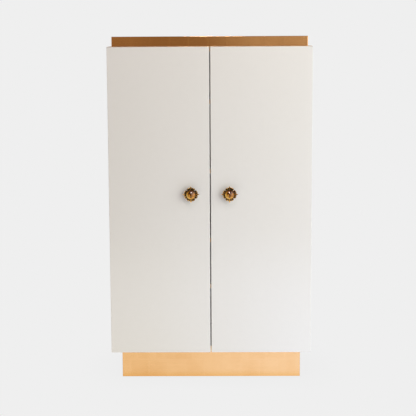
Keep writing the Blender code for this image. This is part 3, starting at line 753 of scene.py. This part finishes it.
def knob_screw_mesh():
    """The machine screw: a pan head on the door's inside, with a cross recess."""
    profile = [(0, -24.9), (1.6, -24.88), (2.7, -24.6), (3.6, -24.1), (4.2, -23.4), (4.5, -22.6), (4.5, -22.3),
               (2.0, -22.3), (2.0, 7.6), (1.4, 8.4), (0, 8.4)]
    bm = bmesh.new()
    lathe(bm, [(r * MM, -p * MM) for r, p in profile], 40)
    mesh = to_mesh(bm, "knob_screw")
    cut = bmesh.new()
    cuboid(cut, Vector((-2.3, 23.7, -0.5)) * MM, Vector((2.3, 26.0, 0.5)) * MM)
    one = to_mesh(cut, "recess")
    cut = bmesh.new()
    cuboid(cut, Vector((-0.5, 23.7, -2.3)) * MM, Vector((0.5, 26.0, 2.3)) * MM)
    return subtract(mesh, [one, to_mesh(cut, "recess")])


PARTS = (("foot", foot_mesh(), BRASS, "knob_brass", ("knob_rosette",), 35),
         ("flower", flower_mesh(), BRASS, "knob_brass", ("knob_star",), 60),
         ("seat", seat_mesh(), BRASS, "knob_brass", (), 35),
         ("claws", claws_mesh(), BRASS, "knob_brass", ("knob_claws",), 60),
         ("stone", stone_mesh(), AMBER, "amber_glass", ("knob_stone",), 12),
         ("screw", knob_screw_mesh(), NICKEL, "nickel_plate", ("knob_screw",), 35))
for side in ("left", "right"):
    for part, mesh, mat, slot, nodes, smooth in PARTS:
        if not mesh.uv_layers:
            box_uv(mesh)
        show(f"{side}_knob_{part}", mesh, [mat], BODY[side], [f"{n}_{side}" for n in nodes], smooth,
             weighted=part in ("screw",), at=KNOB[side])

# =================================================================== hardware
for name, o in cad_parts.items():
    if name.startswith("hinge"):
        weld = o.modifiers.new("weld", "WELD")
        weld.merge_threshold = 0.00002
        flat = o.modifiers.new("flats", "DECIMATE")
        flat.decimate_type = "DISSOLVE"
        flat.angle_limit = math.radians(1.0)
        round_ = o.modifiers.new("arris", "BEVEL")
        round_.width, round_.segments, round_.angle_limit = 0.00022, 2, math.radians(32)
        round_.limit_method = "ANGLE"
        o.modifiers.new("weighted normals", "WEIGHTED_NORMAL")
        o.data.materials.clear()
        o.data.materials.append(NICKEL)
    elif name.startswith("shelf_pin"):
        o.data.materials.clear()
        o.data.materials.append(STEEL)
    elif name.startswith("glide"):
        o.data.materials.clear()
        o.data.materials.append(NYLON)
    elif name.startswith("door_bumper"):
        o.data.materials.clear()
        o.data.materials.append(CLEAR)

# ====================================================================== stage
PALE = 0.8632


def floor_material():
    """A white sweep that shines at one level. A painted contact shadow darkens it a little in the crease under the
    plinth, and the room's darker floor starts a few metres out, where only reflections reach. In reflections it also
    carries painted light: brighter and cooler to the right, warmer to the left, and a painted gold bounce in front of
    the plinth."""
    m = bpy.data.materials.new("studio_floor")
    m.use_nodes = True
    t = m.node_tree
    t.nodes.clear()
    out = t.nodes.new("ShaderNodeOutputMaterial")
    glow = t.nodes.new("ShaderNodeEmission")
    # painted contact shadow: ambient occlusion dims the floor's glow near the plinth
    near = t.nodes.new("ShaderNodeAmbientOcclusion")
    near.samples = 16
    near.inputs["Distance"].default_value = 0.22
    shade = t.nodes.new("ShaderNodeMapRange")
    for i, v in enumerate((0.0, 1.0, 0.965, 1.0)):
        shade.inputs[1 + i].default_value = v
    level = t.nodes.new("ShaderNodeMath")
    level.name = "level"
    level.operation = "MULTIPLY"
    level.inputs[1].default_value = PALE
    t.links.new(near.outputs["AO"], shade.inputs[0])
    t.links.new(shade.outputs[0], level.inputs[0])
    t.links.new(level.outputs[0], glow.inputs["Strength"])
    place = t.nodes.new("ShaderNodeNewGeometry")
    far = t.nodes.new("ShaderNodeVectorMath")
    far.operation = "LENGTH"
    t.links.new(place.outputs["Position"], far.inputs[0])
    beyond = t.nodes.new("ShaderNodeMapRange")
    beyond.interpolation_type = "SMOOTHSTEP"
    beyond.inputs[1].default_value, beyond.inputs[2].default_value = 1.6, 5.0
    t.links.new(far.outputs["Value"], beyond.inputs[0])
    path = t.nodes.new("ShaderNodeLightPath")
    reach = t.nodes.new("ShaderNodeMath")
    reach.operation = "MULTIPLY"
    unseen = t.nodes.new("ShaderNodeMath")
    unseen.operation = "SUBTRACT"
    unseen.inputs[0].default_value = 1.0
    t.links.new(path.outputs["Is Camera Ray"], unseen.inputs[1])
    t.links.new(beyond.outputs[0], reach.inputs[0])
    t.links.new(unseen.outputs[0], reach.inputs[1])
    tint = t.nodes.new("ShaderNodeMix")
    tint.data_type = "RGBA"
    part = t.nodes.new("ShaderNodeSeparateXYZ")
    t.links.new(place.outputs["Position"], part.inputs[0])
    side = t.nodes.new("ShaderNodeMapRange")
    side.interpolation_type = "SMOOTHSTEP"
    side.inputs[1].default_value, side.inputs[2].default_value = -0.5, 0.6
    t.links.new(part.outputs["X"], side.inputs[0])
    lit = t.nodes.new("ShaderNodeMath")
    lit.operation = "MULTIPLY"
    t.links.new(side.outputs[0], lit.inputs[0])
    t.links.new(unseen.outputs[0], lit.inputs[1])
    # painted light in reflections: the floor is brighter and cooler to the right, where the key lamp stands, and warmer
    # to the left
    painted_floor_light = t.nodes.new("ShaderNodeMix")
    painted_floor_light.data_type = "RGBA"
    painted_floor_warmth = t.nodes.new("ShaderNodeMix")
    painted_floor_warmth.data_type = "RGBA"
    painted_floor_warmth.inputs[6].default_value = (1.0, 1.0, 1.0, 1.0)
    painted_floor_warmth.inputs[7].default_value = (1.0, 0.965, 0.90, 1.0)
    t.links.new(unseen.outputs[0], painted_floor_warmth.inputs[0])
    t.links.new(painted_floor_warmth.outputs[2], painted_floor_light.inputs[6])
    painted_floor_light.inputs[7].default_value = (1.13, 1.205, 1.43, 1.0)
    t.links.new(lit.outputs[0], painted_floor_light.inputs[0])
    close = t.nodes.new("ShaderNodeMapRange")             # painted bounce light: the gilt's light painted on the floor right in front of it, seen in reflections
    close.interpolation_type = "SMOOTHSTEP"
    close.inputs[1].default_value, close.inputs[2].default_value = -0.290, -0.165
    t.links.new(part.outputs["Y"], close.inputs[0])
    warm = t.nodes.new("ShaderNodeMath")
    warm.operation = "MULTIPLY"
    t.links.new(close.outputs[0], warm.inputs[0])
    t.links.new(unseen.outputs[0], warm.inputs[1])
    painted_gilt_bounce = t.nodes.new("ShaderNodeMix")
    painted_gilt_bounce.data_type = "RGBA"
    painted_gilt_bounce.blend_type = "MULTIPLY"
    painted_gilt_bounce.inputs[7].default_value = (0.93, 0.82, 0.58, 1.0)
    t.links.new(warm.outputs[0], painted_gilt_bounce.inputs[0])
    t.links.new(painted_floor_light.outputs[2], painted_gilt_bounce.inputs[6])
    t.links.new(painted_gilt_bounce.outputs[2], tint.inputs[6])
    tint.inputs[7].default_value = (0.20, 0.15, 0.11, 1.0)
    t.links.new(reach.outputs[0], tint.inputs[0])
    t.links.new(tint.outputs[2], glow.inputs["Color"])
    t.links.new(glow.outputs[0], out.inputs[0])
    return m


floor_mesh = bpy.data.meshes.new("studio_floor")
bm = bmesh.new()
bmesh.ops.create_circle(bm, cap_ends=True, radius=60.0, segments=96)
bm.to_mesh(floor_mesh)
bm.free()
floor = bpy.data.objects.new("studio_floor", floor_mesh)
LINK(floor)
floor_mesh.materials.append(floor_material())

# The room: a band at eye height, a band above it and the ceiling, each with a left and a right tone.
ROOM = {"low": ((0.241, 0.153, 0.077), (0.494, 0.402, 0.302)),
        "mid": ((0.280, 0.250, 0.220), (0.280, 0.270, 0.260)),
        "high": ((0.10, 0.095, 0.09), (0.10, 0.095, 0.09))}


def room():
    world = bpy.data.worlds.new("studio")
    world.use_nodes = True
    t = world.node_tree
    t.nodes.clear()

    def span(value, lo, hi):
        n = t.nodes.new("ShaderNodeMapRange")
        n.interpolation_type = "SMOOTHSTEP"
        t.links.new(value, n.inputs[0])
        n.inputs[1].default_value, n.inputs[2].default_value = lo, hi
        return n.outputs[0]

    def mix(fac, a, b, name=""):
        n = t.nodes.new("ShaderNodeMix")
        n.data_type = "RGBA"
        n.name = name
        t.links.new(fac, n.inputs[0])
        for k, v in ((6, a), (7, b)):
            if isinstance(v, tuple):
                n.inputs[k].default_value = (*v, 1.0)
            else:
                t.links.new(v, n.inputs[k])
        return n.outputs[2]

    at = t.nodes.new("ShaderNodeTexCoord")
    part = t.nodes.new("ShaderNodeSeparateXYZ")
    t.links.new(at.outputs["Generated"], part.inputs[0])
    x, z = part.outputs["X"], part.outputs["Z"]
    low = mix(span(x, -0.004, 0.022), *ROOM["low"], "low")
    lift = t.nodes.new("ShaderNodeMix")                   # a little lighter again at the far left
    lift.data_type = "RGBA"
    lift.blend_type = "MULTIPLY"
    fade = t.nodes.new("ShaderNodeMath")
    fade.operation = "SUBTRACT"
    fade.inputs[0].default_value = 1.0
    t.links.new(span(x, -0.100, -0.050), fade.inputs[1])
    t.links.new(fade.outputs[0], lift.inputs[0])
    t.links.new(low, lift.inputs[6])
    lift.inputs[7].default_value = (1.35, 1.35, 1.35, 1.0)
    low = lift.outputs[2]
    mid = mix(span(x, -0.8, 0.8), *ROOM["mid"], "mid")
    high = mix(span(x, -0.8, 0.8), *ROOM["high"], "high")
    light = mix(span(z, 0.55, 0.85), mix(span(z, 0.14, 0.30), low, mid), high)
    lit = t.nodes.new("ShaderNodeBackground")
    t.links.new(light, lit.inputs[0])
    seen = t.nodes.new("ShaderNodeBackground")
    seen.inputs[0].default_value = (PALE, PALE, PALE, 1.0)
    path = t.nodes.new("ShaderNodeLightPath")
    choose = t.nodes.new("ShaderNodeMixShader")
    out = t.nodes.new("ShaderNodeOutputWorld")
    t.links.new(path.outputs["Is Camera Ray"], choose.inputs[0])
    t.links.new(lit.outputs[0], choose.inputs[1])
    t.links.new(seen.outputs[0], choose.inputs[2])
    t.links.new(choose.outputs[0], out.inputs[0])
    return world


SCENE.world = room()


def softbox(name, at, to, size, power, colour=(1.0, 1.0, 1.0)):
    data = bpy.data.lights.new(name, "AREA")
    data.shape = "RECTANGLE"
    data.size, data.size_y = size
    data.energy = power
    data.color = colour
    o = bpy.data.objects.new(name, data)
    LINK(o)
    o.location = at
    o.rotation_euler = (Vector(to) - Vector(at)).to_track_quat("-Z", "Y").to_euler()
    return o


softbox("key_right", (2.2, -2.2, 1.5), (0.2, -0.2, 0.85), (3.4, 3.2), 87.5, (0.934, 1.0, 0.993))
softbox("fill_left", (-3.4, -3.8, 1.3), (-0.1, -0.2, 0.8), (2.2, 2.4), 1.0, (1.0, 0.62, 0.50))
softbox("top", (0.2, -2.2, 3.6), (0.0, -0.2, 0.6), (3.0, 1.6), 6.0, (0.68, 0.44, 1.0))
softbox("sparkle", (0.0, -1.95, 3.2), (0.0, -0.25, 0.85), (0.30, 0.30), 9.0, (1.0, 0.92, 0.82))
softbox("back_left", (-2.8, 2.6, 1.9), (0.0, 0.2, 0.8), (3.2, 3.0), 26)
softbox("back_right", (2.8, 2.6, 1.9), (0.0, 0.2, 0.8), (3.2, 3.0), 26)

# ===================================================================== camera
cam_data = bpy.data.cameras.new("camera")
cam_data.sensor_width = 36.0
cam_data.lens = 101.83
cam_data.clip_end = 200.0
camera = bpy.data.objects.new("camera", cam_data)
LINK(camera)
camera.matrix_world = (Matrix.Translation((0.0436, -5.3181, 1.5230)) @ Matrix.Rotation(math.radians(0.6047), 4, "Z")
                       @ Matrix.Rotation(math.radians(90 - 8.2925), 4, "X")
                       @ Matrix.Rotation(math.radians(-0.2937), 4, "Z"))
SCENE.camera = camera
SCENE.view_settings.view_transform = "Standard"
SCENE.view_settings.look = "None"
